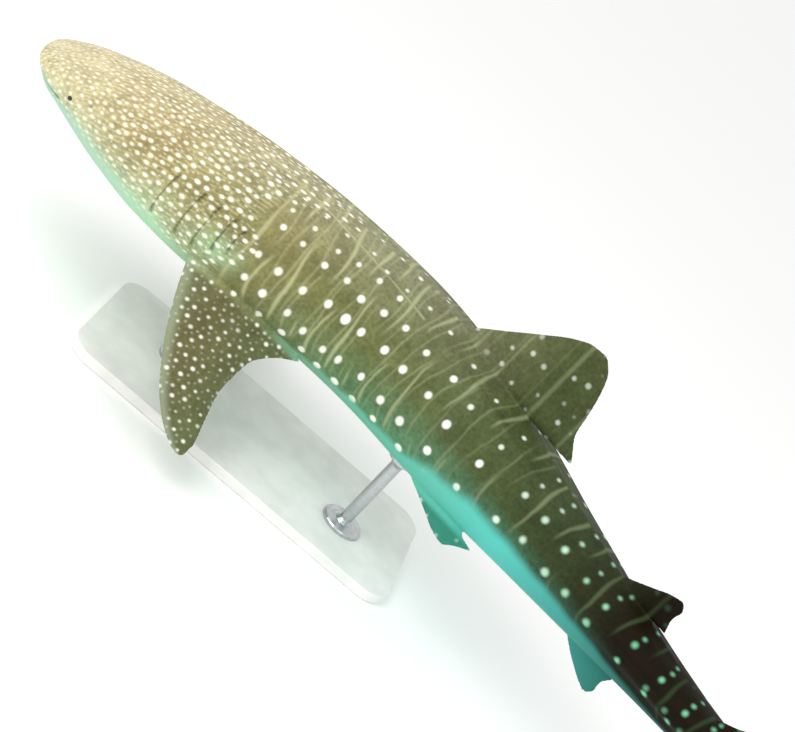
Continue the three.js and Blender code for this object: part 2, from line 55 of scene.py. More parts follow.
# Body outline: station, top, bottom, half width
BODY = np.array([
    [-0.6, 0.3, -0.12, 1.3],
    [-0.35, 0.62, -0.42, 2.4],
    [0.1, 0.92, -0.74, 3.3],
    [0.8, 1.25, -1.15, 4.05],
    [2.0, 1.95, -1.9, 4.75],
    [5.0, 3.15, -3.1, 5.6],
    [9.0, 4.35, -4.4, 6.3],
    [14.0, 5.25, -5.45, 6.8],
    [20.0, 5.9, -5.85, 7.05],
    [28.0, 6.35, -5.75, 7.1],
    [36.0, 6.35, -5.8, 6.85],
    [44.0, 5.95, -5.75, 6.4],
    [52.0, 5.05, -5.2, 5.5],
    [60.0, 3.85, -4.25, 4.35],
    [68.0, 2.85, -3.2, 3.4],
    [75.0, 2.2, -2.25, 2.75],
    [79.0, 2.0, -1.75, 2.45],
    [82.0, 2.1, -1.4, 1.6],
    [84.6, 2.1, -0.7, 0.8],
    [86.0, 1.7, 0.1, 0.3],
])
ROUNDNESS = 2.3
BODY_START, BODY_END = -0.6, 86.0

# Ridges along each side: stations, angles above the side, heights, fade stations, half angle
RIDGES = [
    ([18, 50, 66, 79], [8, 4, 4, 6], [0, 0.16, 0.5, 0.75], (22, 84), 11.0),
    ([18, 40, 66, 80], [36, 30, 28, 28], [0.12, 0.2, 0.14, 0], (16, 72), 5.0),
    ([12, 22, 36, 66], [72, 66, 60, 58], [0.08, 0.2, 0.2, 0.1], (11, 68), 4.5),
]
SPINE_RIDGE, SPINE_FADE, SPINE_ANGLE = 0.16, (12, 76), 6.0

# Gills, mouth, nostrils, eyes and spiracles: stations and levels in per cent, angles in
# degrees, rises, depths and half widths in metres
GILLS = [15.0, 17.6, 19.3, 20.9, 22.1]
GILL_ANGLES = [(-30, 20), (-27, 21), (-24, 22), (-15, 21), (-7, 18)]
FLAP_RISE, FLAP_RUN = 0.009, 1.3
SLIT_HALF, SLIT_DEPTH, SLIT_BOW = 0.008, 0.015, 1.3
MOUTH_CORNER, MOUTH_LEVEL, MOUTH_DROP = 3.3, -0.1, 0.8
MOUTH_HALF, MOUTH_DEPTH, MOUTH_ENDS, MOUTH_LIMIT = 0.008, 0.026, (84, 96), 6
LIP_RISE, LIP_AT, LIP_HALF = 0.007, 0.021, 0.010
NOSTRIL_BEARING, NOSTRIL_LEVEL = 52, 0.55
NOSTRIL_SIZE, NOSTRIL_DEPTH, NOSTRIL_LIMIT = (0.016, 0.008), 0.012, 3
# Way round the mouth's rim from its middle to the side
RIM_RUN = 0.4
EYE_STATION, EYE_LEVEL, EYE_RADIUS, EYE_PROUD = 4.14, 0.02, 0.022, 0.004
LID_RADIUS, LID_HALF, LID_RISE = 0.0165, 0.0055, 0.0075
SOCKET_RUN, SOCKET_DEPTH, EYE_REACH = (0.006, 0.013), 0.016, 0.1
SPIRACLE_STATION, SPIRACLE_ANGLE, SPIRACLE_HALF, SPIRACLE_DEPTH = 5.9, 10, 0.0096, 0.012

# Fins: leading and trailing edges in rows from the root to the tip
DORSAL_1 = ([[41.0, 4.6], [41.6, 6.4], [42.6, 7.35], [44.4, 8.95], [46.7, 11.05], [48.9, 12.95],
             [50.6, 13.95], [51.9, 14.2]],
            [[50.2, 4.3], [50.9, 5.35], [56.4, 5.85], [54.9, 7.9], [54.5, 9.8], [54.0, 11.7],
             [53.3, 13.3], [52.3, 14.15]])
DORSAL_2 = ([[65.4, 2.2], [66.0, 3.2], [67.2, 3.95], [68.6, 4.8], [69.9, 5.6], [70.9, 6.0]],
            [[69.3, 2.1], [69.7, 2.85], [71.9, 3.05], [71.5, 4.4], [71.65, 5.3], [71.3, 5.95]])
ANAL = ([[65.5, -2.4], [66.1, -3.55], [67.2, -4.35], [68.5, -5.05], [69.8, -5.6], [70.6, -5.85]],
        [[69.2, -2.0], [69.7, -2.95], [71.8, -3.15], [71.3, -4.2], [71.4, -5.1], [71.0, -5.8]])
PECTORAL = ([[19.2, -1.6], [19.9, 0.9], [20.6, 2.9], [21.8, 5.7], [23.5, 8.9], [25.6, 11.8],
             [27.5, 13.5], [29.0, 14.3], [30.0, 14.4]],
            [[29.8, -1.6], [31.0, 0.1], [33.0, 0.5], [31.2, 1.8], [29.5, 4.2], [29.2, 7.5],
             [29.9, 10.6], [30.6, 12.9], [30.5, 14.1]])
PELVIC = ([[47.4, -0.6], [48.2, 0.7], [49.8, 1.15], [51.6, 1.6], [53.2, 2.0], [54.2, 2.1]],
          [[54.4, -0.6], [55.2, 0.2], [56.6, 0.35], [55.8, 0.95], [55.2, 1.5], [54.8, 2.0]])
UPPER_LOBE = ([[78.8, 0.3], [79.4, 1.7], [81.6, 3.1], [84.8, 5.9], [88.6, 9.7], [92.8, 13.9],
               [97.0, 17.5], [99.6, 19.2]],
              [[85.9, -0.6], [86.8, 0.9], [87.9, 2.7], [89.8, 5.3], [92.4, 8.5], [95.4, 12.3],
               [98.4, 16.4], [99.9, 18.9]])
LOWER_LOBE = ([[78.9, 0.6], [79.6, -1.3], [81.4, -3.1], [83.4, -5.7], [85.2, -8.7], [86.6, -11.4],
               [87.5, -12.7]],
              [[86.3, 1.5], [86.7, 0.6], [86.2, -1.0], [86.1, -3.5], [86.7, -6.9], [87.4, -10.2],
               [87.9, -12.6]])
# Root line of the paired fins: side, height, station, pitch, droop
PECTORAL_ROOT = (5.2, -3.6, 26, 0.07, math.radians(37))
PELVIC_ROOT = (2.9, -4.3, 50, 0.03, math.radians(48))

# Distance off the body over which a fin begins, stations over which the tail turns all fin,
# and the station between the pectoral fins and those behind them
FIN_CLEAR = (0.012, 0.05)
TAIL_FIN = (80, 83)
PECTORAL_END = 36

# Least half thickness of a fin, size of the voxels, sections of the body and points round each
FIN_EDGE = 0.0045
VOXEL = 0.006
RING_COUNT, ROUND_COUNT = 620, 220

# Camera, fitted to the photo of 795 x 732 pixels: degrees, metres, and the pixel on which the
# point at the aim station of a straight axis falls
IMAGE_WIDTH, IMAGE_HEIGHT = 795, 732
CAMERA_AZIMUTH, CAMERA_ELEVATION, CAMERA_ROLL = -5.566, 23.264, 43.112
CAMERA_DISTANCE = 10.926
PIXELS_PER_METRE = 193.557
AIM_STATION = 40.0
AIM_PIXEL = (411.08, 359.65)


def smooth(x, low, high):
    t = np.clip((np.asarray(x, float) - low) / (high - low), 0, 1)
    return t * t * (3 - 2 * t)


def bump(x, half):
    return np.exp(-(np.asarray(x) / half) ** 2)


def through(xs, ys, x):
    """Values at x of the monotone cubic through the points (xs, ys)."""
    xs, ys = np.asarray(xs, float), np.asarray(ys, float)
    x = np.clip(np.asarray(x, float), xs[0], xs[-1])
    run = np.diff(xs)
    slope = np.diff(ys) / run
    tangent = np.zeros(len(xs))
    tangent[0], tangent[-1] = slope[0], slope[-1]
    for i in range(1, len(xs) - 1):
        before, after = slope[i - 1], slope[i]
        if before * after > 0:
            w1, w2 = 2 * run[i] + run[i - 1], run[i] + 2 * run[i - 1]
            tangent[i] = (w1 + w2) / (w1 / before + w2 / after)
    i = np.clip(np.searchsorted(xs, x, side="right") - 1, 0, len(xs) - 2)
    h = run[i]
    t = (x - xs[i]) / h
    return (ys[i] * (1 + 2 * t) * (1 - t) ** 2 + tangent[i] * h * t * (1 - t) ** 2
            + ys[i + 1] * t * t * (3 - 2 * t) + tangent[i + 1] * h * t * t * (t - 1))


# Centre line of the body
def heading(s):
    return -BEND * smooth(s, BEND_FROM, BEND_TO) + LAG * smooth(s, LAG_FROM, LAG_TO)


LINE_S = np.linspace(0, 104, 4161)
LINE_TURN = heading((LINE_S[1:] + LINE_S[:-1]) / 2)
LINE_X = np.concatenate([[0], np.cumsum(np.cos(LINE_TURN) * np.diff(LINE_S))]) * PC
LINE_Y = np.concatenate([[0], np.cumsum(np.sin(LINE_TURN) * np.diff(LINE_S))]) * PC
ORIGIN_X = np.interp(BALANCE_STATION, LINE_S, LINE_X)
ORIGIN_Y = np.interp(BALANCE_STATION, LINE_S, LINE_Y)


def centre(s):
    x = np.interp(s, LINE_S, LINE_X) - ORIGIN_X + np.minimum(s, 0) * PC
    return x, np.interp(s, LINE_S, LINE_Y) - ORIGIN_Y + BALANCE_SIDE


def place(s, side, z):
    """World points at stations, metres to the animal's left and metres above its axis."""
    turn = heading(s)
    x, y = centre(s)
    return np.stack([x + side * np.sin(turn), y - side * np.cos(turn), z + AXIS_HEIGHT + 0 * x], -1)


def body_coordinates(p):
    """Station, side and height of world points."""
    s = (p[:, 0] + ORIGIN_X) / PC
    for _ in range(7):
        x, y = centre(s)
        turn = heading(s)
        s = s + ((p[:, 0] - x) * np.cos(turn) + (p[:, 1] - y) * np.sin(turn)) / PC
    x, y = centre(s)
    turn = heading(s)
    side = (p[:, 0] - x) * np.sin(turn) - (p[:, 1] - y) * np.cos(turn)
    return s, side, p[:, 2] - AXIS_HEIGHT


def top_at(s):
    return through(BODY[:, 0], BODY[:, 1], s) * PC


def bottom_at(s):
    return through(BODY[:, 0], BODY[:, 2], s) * PC


def half_at(s):
    return through(BODY[:, 0], BODY[:, 3], s) * PC


def fade(s, ends, run=4):
    return smooth(s, ends[0], ends[0] + run) * (1 - smooth(s, ends[1] - run, ends[1]))


def side_angle(angle):
    """The angle above the near side, the same for both sides of the body."""
    return np.where(angle > 90, 180 - angle, angle)


def flap_rise(s, angle):
    rise = np.zeros(np.broadcast(s, angle).shape)
    for gill, (low, high) in zip(GILLS, GILL_ANGLES):
        run = np.clip((s - gill) / FLAP_RUN + 1, 0, 1) * (s <= gill)
        across = smooth(angle, low - 14, low + 4) * (1 - smooth(angle, high - 4, high + 14))
        rise = np.maximum(rise, FLAP_RISE * run ** 2 * across)
    return rise


def ridge_rise(s, angle):
    rise = SPINE_RIDGE * PC * fade(s, SPINE_FADE) * bump(angle - 90, SPINE_ANGLE)
    for at, turns, heights, ends, half in RIDGES:
        line = through(at, turns, s)
        rise = rise + through(at, heights, s) * fade(s, ends) * PC * bump(angle - line, half)
    return rise


def skin_point(s, angle):
    near = side_angle(angle)
    out = flap_rise(s, near) + ridge_rise(s, near)
    c, d = np.cos(np.radians(angle)), np.sin(np.radians(angle))
    high = np.where(d >= 0, top_at(s), -bottom_at(s)) + out
    power = 2 / ROUNDNESS
    return place(s, np.sign(c) * np.abs(c) ** power * (half_at(s) + out),
                 np.sign(d) * np.abs(d) ** power * high)


def one_point(s, angle, mirror):
    """A point of the skin on the left side, or on the right where mirror is negative."""
    return skin_point(np.array([s]), np.array([angle if mirror > 0 else 180.0 - angle]))[0]


# Closed meshes
def mesh_object(name, points, faces):
    mesh = bpy.data.meshes.new(name)
    mesh.from_pydata([tuple(p) for p in points], [], faces)
    mesh.validate()
    obj = bpy.data.objects.new(name, mesh)
    bpy.context.scene.collection.objects.link(obj)
    return obj


def loft(name, rings):
    """A closed mesh through rings of points, with a flat cap at each end."""
    rows, count = rings.shape[:2]
    faces = []
    for i in range(rows - 1):
        for j in range(count):
            k = (j + 1) % count
            faces.append((i * count + j, i * count + k, (i + 1) * count + k, (i + 1) * count + j))
    faces.append(tuple(range(count - 1, -1, -1)))
    faces.append(tuple((rows - 1) * count + j for j in range(count)))
    return mesh_object(name, rings.reshape(-1, 3), faces)


def body_rings():
    t = np.linspace(0, 1, RING_COUNT)
    s = BODY_START + (BODY_END - BODY_START) * (0.35 * t ** 2.2 + 0.65 * t)
    angle = np.linspace(-90, 270, ROUND_COUNT, endpoint=False)
    grid_s, grid_a = np.meshgrid(s, angle, indexing="ij")
    return skin_point(grid_s.ravel(), grid_a.ravel()).reshape(RING_COUNT, ROUND_COUNT, 3)


def taper(root, tip, flare, run):
    """Half thickness from the root to the tip, swelling into the body."""
    return lambda t: (tip + (root - tip) * (1 - t) ** 1.2
                      + flare * np.maximum(0, 1 - t / run) ** 2) / 1000


def upright(u, v, w):
    return place(u, w, v * PC)


def paired(root, mirror):
    side, z, at, pitch, droop = root

    def lay(u, v, w):
        return place(u, mirror * (side * PC + v * PC * np.cos(droop) + w * np.sin(droop)),
                     (z + (at - u) * pitch) * PC - v * PC * np.sin(droop) + w * np.cos(droop))
    return lay


def fin(name, edges, half, lay, rows=90, chord=30):
    t = np.linspace(0, 1, rows)
    front, rear = (np.array(edge, float) for edge in edges)
    a, b = (np.stack([through(np.linspace(0, 1, len(e)), e[:, k], t) for k in (0, 1)], -1)
            for e in (front, rear))
    k = np.concatenate([np.arange(chord + 1), np.arange(chord - 1, 0, -1)])
    x = (1 - np.cos(np.pi * k / chord)) / 2
    way = np.where(np.arange(2 * chord) <= chord, 1, -1) * ((k > 0) & (k < chord))
    point = a[:, None] * (1 - x[None, :, None]) + b[:, None] * x[None, :, None]
    profile = 2.6 * np.sqrt(x) * (1 - x) + 0.08
    thick = way[None] * np.maximum(half(t)[:, None] * profile[None], FIN_EDGE)
    rings = lay(point[..., 0].ravel(), point[..., 1].ravel(), thick.ravel())
    return loft(name, rings.reshape(rows, 2 * chord, 3))


def fin_meshes():
    made = [
        fin("dorsal_1", DORSAL_1, taper(32, 7, 34, 0.3), upright),
        fin("dorsal_2", DORSAL_2, taper(15, 4, 22, 0.35), upright, 60, 20),
        fin("anal", ANAL, taper(14, 4, 18, 0.35), upright, 60, 20),
        fin("upper_lobe", UPPER_LOBE, taper(30, 7, 34, 0.28), upright),
        fin("lower_lobe", LOWER_LOBE, taper(26, 6, 30, 0.3), upright),
    ]
    for mirror in (1, -1):
        made.append(fin("pectoral", PECTORAL, taper(46, 9, 44, 0.25),
                        paired(PECTORAL_ROOT, mirror)))
        made.append(fin("pelvic", PELVIC, taper(17, 4, 22, 0.35),
                        paired(PELVIC_ROOT, mirror), 60, 20))
    return made


def join(objects, name):
    bpy.ops.object.select_all(action="DESELECT")
    for obj in objects:
        obj.select_set(True)
    bpy.context.view_layer.objects.active = objects[0]
    bpy.ops.object.join()
    objects[0].name = name
    return objects[0]


def apply_modifiers(obj):
    graph = bpy.context.evaluated_depsgraph_get()
    mesh = bpy.data.meshes.new_from_object(obj.evaluated_get(graph))
    obj.modifiers.clear()
    obj.data = mesh
    return obj


def fused_skin():
    """Body and fins as one closed surface, with the fin roots blended in."""
    skin = join([loft("body", body_rings())] + fin_meshes(), "shark_skin")
    remesh = skin.modifiers.new("fuse", "REMESH")
    remesh.mode = "VOXEL"
    remesh.voxel_size = VOXEL
    apply_modifiers(skin)
    soften = skin.modifiers.new("soften", "SMOOTH")
    soften.factor, soften.iterations = 0.5, 3
    return apply_modifiers(skin)


def read_points(obj):
    flat = np.empty(len(obj.data.vertices) * 3)
    obj.data.vertices.foreach_get("co", flat)
    return flat.reshape(-1, 3)


def read_normals(obj):
    flat = np.empty(len(obj.data.vertices) * 3)
    obj.data.vertex_normals.foreach_get("vector", flat)
    return flat.reshape(-1, 3)


# Where each point of the skin is
class Skin:
    """Points of the skin with their body coordinates, and which part each is on."""

    def __init__(self, obj):
        self.obj = obj
        self.p = read_points(obj)
        self.n = read_normals(obj)
        self.s, self.side, self.z = body_coordinates(self.p)
        half = half_at(self.s)
        high = np.where(self.z >= 0, top_at(self.s), -bottom_at(self.s))
        power = ROUNDNESS / 2
        self.angle = np.degrees(np.arctan2(
            np.sign(self.z) * np.abs(self.z / high) ** power,
            np.abs(self.side / half) ** power))
        # how far out from the body's own skin, 1 on it
        powers = np.abs(self.side / half) ** ROUNDNESS + np.abs(self.z / high) ** ROUNDNESS
        depth = (powers ** (1 / ROUNDNESS) - 1) * np.minimum(half, high)
        self.fin = smooth(depth, *FIN_CLEAR)
        rear = self.s > TAIL_FIN[0]
        self.fin[rear] = np.maximum(self.fin, smooth(self.s, *TAIL_FIN))[rear]
        # distance round the body from the middle of the back
        self.round = np.radians(90 - self.angle) * (half + high) / 2
        self.order = np.argsort(self.s)
        self.sorted = self.s[self.order]

    def near(self, s, reach):
        low, high = np.searchsorted(self.sorted, [s - reach / PC, s + reach / PC])
        return self.order[low:high]


def rim_bearing(skin):
    return np.degrees(np.arctan2(np.abs(skin.side), (MOUTH_CORNER - skin.s) * PC))


def line_level(bearing):
    aside = np.sin(np.radians(np.clip(bearing, 0, 90)))
    return (MOUTH_LEVEL - MOUTH_DROP * aside ** 3) * PC


def feature_depth(skin):
    """How far each point moves along its normal for mouth, gills, nostrils, eyes and spiracles."""
    move = np.zeros(len(skin.s))
    bearing = rim_bearing(skin)
    off = skin.z - line_level(bearing)
    ends = (1 - smooth(bearing, *MOUTH_ENDS)) * (skin.s < MOUTH_LIMIT)
    move -= MOUTH_DEPTH * bump(off, MOUTH_HALF) * ends
    move += LIP_RISE * (bump(off - LIP_AT, LIP_HALF) + bump(off + LIP_AT, LIP_HALF)) * ends
    for gill, (low, high) in zip(GILLS, GILL_ANGLES):
        across = (smooth(skin.angle, low - 2, low + 5)
                  * (1 - smooth(skin.angle, high - 5, high + 2)))
        bowed = gill + 0.05 + SLIT_BOW * (((skin.angle - low) / (high - low) - 0.5) ** 2 - 0.1)
        move -= SLIT_DEPTH * bump((skin.s - bowed) * PC, SLIT_HALF) * across * (1 - skin.fin)
    nostril = np.hypot((bearing - NOSTRIL_BEARING) / 90 * RIM_RUN / NOSTRIL_SIZE[0],
                       (skin.z - NOSTRIL_LEVEL * PC) / NOSTRIL_SIZE[1])
    move -= NOSTRIL_DEPTH * np.exp(-nostril ** 2) * (skin.s < NOSTRIL_LIMIT)
    for mirror in (1, -1):
        eye = eye_centre(mirror)
        d = np.linalg.norm(skin.p - eye, axis=1)
        flat = np.hypot(skin.p[:, 0] - eye[0], skin.p[:, 2] - eye[2])
        close = d < EYE_REACH
        move += np.where(close, LID_RISE * bump(flat - LID_RADIUS, LID_HALF), 0)
        move -= np.where(close, SOCKET_DEPTH * (1 - smooth(flat, *SOCKET_RUN)), 0)
        hole = one_point(SPIRACLE_STATION, SPIRACLE_ANGLE, mirror)
        move -= SPIRACLE_DEPTH * bump(np.linalg.norm(skin.p - hole, axis=1), SPIRACLE_HALF)
    return move


def eye_centre(mirror):
    side = half_at(np.array([EYE_STATION])) - EYE_RADIUS + EYE_PROUD
    return place(np.array([EYE_STATION]), mirror * side, np.array([EYE_LEVEL * PC]))[0]


# Markings
SPOT_SOFT, SPOT_REACH = 0.011, 2.4
# Pale bars round the trunk: the first one, and the thinner ones beside those between the rows
BAR_HALF, BAR_SOFT, BAR_REACH = 0.0088, 0.014, 0.09
FIRST_BAR = 23.0
THIN_BAR_FROM, THIN_BAR_TO, THIN_BAR_ASIDE = 24, 55, 0.75
# Angles over which markings fade in above the belly
LOW_EDGE = (-34, -20)
# Size of the trunk's spots: least radius, gain low on the flank, and share at stations
TRUNK_RADIUS, TRUNK_GAIN = 0.0122, 0.0084
TRUNK_SHARE = ([24, 34, 48, 60, 80], [0.95, 1.1, 1.1, 0.92, 0.8])
# Spots of the head: stations, gaps and radii
HEAD_GAPS = ([0, 6, 14, 22, 29], [0.028, 0.034, 0.040, 0.047, 0.080])
HEAD_RADII = ([0, 6, 14, 22], [0.0076, 0.0096, 0.0110, 0.0122])
# Share of a large spot's gap that a small one keeps, and the side of the cells that the
# search for near spots goes through, which also limits the gap
SMALL_GAP = 0.62
CELL = 0.06
# Pale line along each side of the back: stations, angles
BACK_LINE = ([18, 21, 36, 40], [88, 85, 61, 58])
BACK_LINE_ENDS, BACK_LINE_STEP, BACK_LINE_RADIUS = (17.5, 39), 0.14, 0.0085
# Lines between the head's spots: distance apart, half width, softness
LANE, LINE_HALF, LINE_SOFT = 0.026, 0.0032, 0.005
# Edge of the pale underside: stations, angles, and its softness
BELLY_EDGE = ([0, 6, 14, 20, 26, 34, 46, 51, 56, 62, 67, 74, 80],
              [-14, -17, -24, -34, -42, -35, -31, -15, -8, -11, -16, -28, -40])
BELLY_SPREAD = ([0, 12, 22, 30, 44, 52], [13, 12, 8, 5, 5, 8])
# Stations of the rows of spots, and the angles of the spots in a row on three lengths of the body
SPOT_ROWS = [24.1, 26.4, 28.8, 31.3, 33.5, 35.9, 38.6, 41.7, 45.1, 48.5, 52.5, 56.6, 59.4, 62.3,
             65.1, 68.0, 71.3, 74.7, 77.8, 80.6]
FRONT_ANGLES, FRONT_END = [89, 71, 54, 36, 12, -10, -30, -46], 38
MIDDLE_ANGLES, MIDDLE_END = [95, 71, 43, 18, -7, -31], 54
REAR_ANGLES = [88, 62, 36, 1]


def wobble(a, b, seed):
    """A smooth number from -1 to 1 that changes slowly with a and quickly with b."""
    return (np.sin(a + b * 12.9898 + seed) + np.sin(a * 2.3 + b * 78.233 + seed * 1.7)
            + np.sin(a * 4.1 + b * 37.719 + seed * 2.3)) / 3


def paint(skin, value, at, s, radius, stretch, strength):
    """Adds a soft spot, longer round the body than along it where stretch is over 1."""
    near = skin.near(s, radius * SPOT_REACH)
    d = skin.p[near] - at
    turn = heading(np.array([s]))[0]
    along = d[:, 0] * math.cos(turn) + d[:, 1] * math.sin(turn)
    rest = np.sqrt(np.maximum(np.sum(d * d, axis=1) - along ** 2, 0))
    away = np.hypot(along * stretch, rest / stretch)
    soft = SPOT_SOFT * (1 + 0.9 * float(smooth(s, 52, 62)))
    cover = strength * smooth((radius - away) / soft, -0.6, 0.6)
    value[near] = np.maximum(value[near], cover)


def row_angles(s):
    if s < FRONT_END:
        return FRONT_ANGLES
    return MIDDLE_ANGLES if s < MIDDLE_END else REAR_ANGLES


def trunk_spots(skin, value):
    """Rows of spots across the trunk and tail, largest low on the flank."""
    for row in SPOT_ROWS:
        for mirror in (1, -1):
            for angle in row_angles(row):
                if mirror < 0 and angle > 84:
                    continue
                low = float(smooth(-angle, -75, -5))
                middle = math.exp(-((angle + 4) / 16) ** 2) * math.exp(-((row - 34) / 9) ** 2)
                size = np.interp(row, *TRUNK_SHARE)
                radius = size * (TRUNK_RADIUS + TRUNK_GAIN * low) * RNG.uniform(0.84, 1.12)
                stretch = 1.04 + 0.24 * middle * RNG.uniform(0.6, 1.3)
                s = row + RNG.uniform(-0.3, 0.3) + 1.1 * float(smooth(-angle, 0, 40))
                turn = angle + RNG.uniform(-3.5, 3.5)
                strength = (0.8 + 0.2 * low) * RNG.uniform(0.75, 1.0)
                paint(skin, value, one_point(s, turn, mirror), s, radius, stretch, strength)


def paint_bar(skin, value, station, half, strength, seed):
    """A thin pale line round the back and flanks, broken here and there."""
    near = skin.near(station, BAR_REACH)
    q = skin.round[near] + 1.7 * (skin.side[near] < 0)
    angle = skin.angle[near]
    sway = (0.26 * np.sin(q * 5.3 + seed) + 0.14 * np.sin(q * 13 + seed * 2)
            + 0.6 * smooth(-angle, 0, 40))
    off = np.abs(skin.s[near] - station - sway) * PC
    cover = np.clip((half * (1 + 0.3 * np.sin(q * 17 + seed)) - off) / BAR_SOFT + 0.5, 0, 1)
    gaps = np.sin(q * 4.1 + seed * 3) + 0.5 * np.sin(q * 9.7 + seed)
    cover *= smooth(angle, *LOW_EDGE) * smooth(gaps, -1.2, -0.5)
    value[near] = np.maximum(value[near], strength * cover)


def trunk_bars(skin, value):
    paint_bar(skin, value, FIRST_BAR, BAR_HALF, 0.6, 0.4)
    for k, (first, second) in enumerate(zip(SPOT_ROWS[:-1], SPOT_ROWS[1:])):
        middle = (first + second) / 2
        paler = 1 - 0.35 * float(smooth(middle, 58, 76))
        paint_bar(skin, value, middle, BAR_HALF, 0.85 * paler, 1.0 + k * 2.1)
        if THIN_BAR_FROM < middle < THIN_BAR_TO:
            before, after = middle - THIN_BAR_ASIDE, middle + THIN_BAR_ASIDE
            paint_bar(skin, value, before, BAR_HALF / 2, 0.5, 5.0 + k * 1.3)
            paint_bar(skin, value, after, BAR_HALF / 2, 0.4, 9.0 + k * 1.7)
    for mirror in (1, -1):
        for station in np.arange(*BACK_LINE_ENDS, BACK_LINE_STEP):
            at = one_point(station, np.interp(station, *BACK_LINE), mirror)
            paint(skin, value, at, station, BACK_LINE_RADIUS, 0.8, 0.7)


def scattered(skin, wanted, gap, seed, taken=()):
    """Points of the skin picked at random at least a gap apart, and clear of those taken."""
    pool = np.flatnonzero(wanted)
    np.random.default_rng(seed).shuffle(pool)
    cells = {}
    for j in taken:
        cells.setdefault(tuple(np.floor(skin.p[j] / CELL).astype(int)), []).append(j)
    picked = []
    steps = [(a, b, c) for a in (-1, 0, 1) for b in (-1, 0, 1) for c in (-1, 0, 1)]
    for i in pool:
        cell = np.floor(skin.p[i] / CELL).astype(int)
        close = [j for step in steps for j in cells.get(tuple(cell + step), ())]
        if close and np.min(np.sum((skin.p[close] - skin.p[i]) ** 2, axis=1)) < gap[i] ** 2:
            continue
        cells.setdefault(tuple(cell), []).append(i)
        picked.append(i)
    return picked


def thinned(skin, wanted, share):
    return wanted & (RNG.uniform(size=len(skin.s)) < share)


def head_spots(skin, value):
    """Small close spots on the head, drawn out along it, with smaller ones between them."""
    limit = (22.5 + 1.2 * np.sin(skin.angle / 11 + np.sign(skin.side))
             + 6 * smooth(skin.angle, 52, 85))
    wanted = (skin.s < limit) & (skin.angle > LOW_EDGE[0]) & (skin.fin < 0.3)
    gap = np.interp(skin.s, *HEAD_GAPS)
    large = scattered(skin, thinned(skin, wanted, 0.12), gap, 3)
    small = scattered(skin, thinned(skin, wanted, 0.12), gap * SMALL_GAP, 4, large)
    for i in large:
        radius = np.interp(skin.s[i], *HEAD_RADII) * RNG.uniform(0.85, 1.15)
        paint(skin, value, skin.p[i], skin.s[i], radius, 0.8, RNG.uniform(0.85, 1.0))
    for i in small:
        radius = RNG.uniform(0.0035, 0.0058)
        paint(skin, value, skin.p[i], skin.s[i], radius, 0.7, RNG.uniform(0.35, 0.7))


def fin_spots(skin, value):
    wanted = (skin.fin > 0.5) & (skin.s < PECTORAL_END)
    gap = np.full(len(skin.s), 0.050)
    large = scattered(skin, thinned(skin, wanted, 0.15), gap, 5)
    small = scattered(skin, thinned(skin, wanted, 0.15), gap * SMALL_GAP, 8, large)
    for i in large:
        radius = RNG.uniform(0.0055, 0.0105)
        paint(skin, value, skin.p[i], skin.s[i], radius, 0.95, RNG.uniform(0.5, 0.95))
    for i in small:
        radius = RNG.uniform(0.004, 0.0055)
        paint(skin, value, skin.p[i], skin.s[i], radius, 1.0, RNG.uniform(0.15, 0.4))
    wanted = (skin.fin > 0.5) & (skin.s > PECTORAL_END)
    gap = np.full(len(skin.s), 0.085)
    for i in scattered(skin, thinned(skin, wanted, 0.12), gap, 6):
        strength = RNG.uniform(0.2, 0.5) * (0.3 if 64 < skin.s[i] < 74 else 1)
        paint(skin, value, skin.p[i], skin.s[i], RNG.uniform(0.009, 0.015), 1.0, strength)


def head_lines(skin):
    """Thin wavy lines along the head between the spots."""
    s, q = skin.s, skin.round
    weave = 0.3 * np.sin(s * 0.9 + q * 7) + 0.16 * np.sin(s * 2.6 + q * 19)
    phase = q / LANE + weave
    nearest = np.round(phase)
    off = np.abs(phase - nearest) * LANE
    lines = np.clip((LINE_HALF - off) / LINE_SOFT + 0.5, 0, 1)
    lines *= smooth(wobble(s * 1.1, nearest, 4.0), -0.35, 0.25)
    lines *= smooth(s, 1.5, 6) * (1 - smooth(s, 22, 24)) * smooth(skin.angle, *LOW_EDGE)
    return lines * 0.7 * (1 - skin.fin)


def belly_cover(skin):
    """1 where the pale underside is, with a slightly wavy edge that rises along the tail."""
    edge = through(*BELLY_EDGE, skin.s)
    wavy = 0.9 * np.sin(skin.s * 1.3) + 0.5 * np.sin(skin.s * 2.9 + 1)
    spread = np.interp(skin.s, *BELLY_SPREAD)
    under = 1 - smooth((skin.angle - edge - wavy) / spread, -1.2, 1)
    return under * (1 - skin.fin * (skin.s < 60)) * (1 - smooth(skin.s, 80, 84))


def teal_cover(skin):
    """1 on the pelvic and anal fins, which share the blue green of the belly."""
    return skin.fin * (skin.z < -2.2 * PC) * smooth(skin.s, 44, 46) * (1 - smooth(skin.s, 76, 79))


def gill_glow(skin):
    """A pale mint patch behind the last gill slits."""
    return bump(skin.s - 21.4, 2.0) * bump(skin.angle + 9, 11) * (1 - skin.fin)


def fin_margin(skin):
    """1 along the leading edge of the pectoral fins."""
    side, z, at, pitch, droop = PECTORAL_ROOT
    out = ((np.abs(skin.side) / PC - side) * np.cos(droop)
           - (skin.z / PC - z - (at - skin.s) * pitch) * np.sin(droop))
    lead = np.array(PECTORAL[0])
    edge = through(lead[:, 1], lead[:, 0], out)
    return smooth(edge + 1.3 - skin.s, 0, 1.1) * skin.fin * (skin.s < PECTORAL_END)


def write(skin, name, value):
    layer = skin.obj.data.attributes.new(name, "FLOAT", "POINT")
    layer.data.foreach_set("value", np.ascontiguousarray(value, dtype=np.float32))


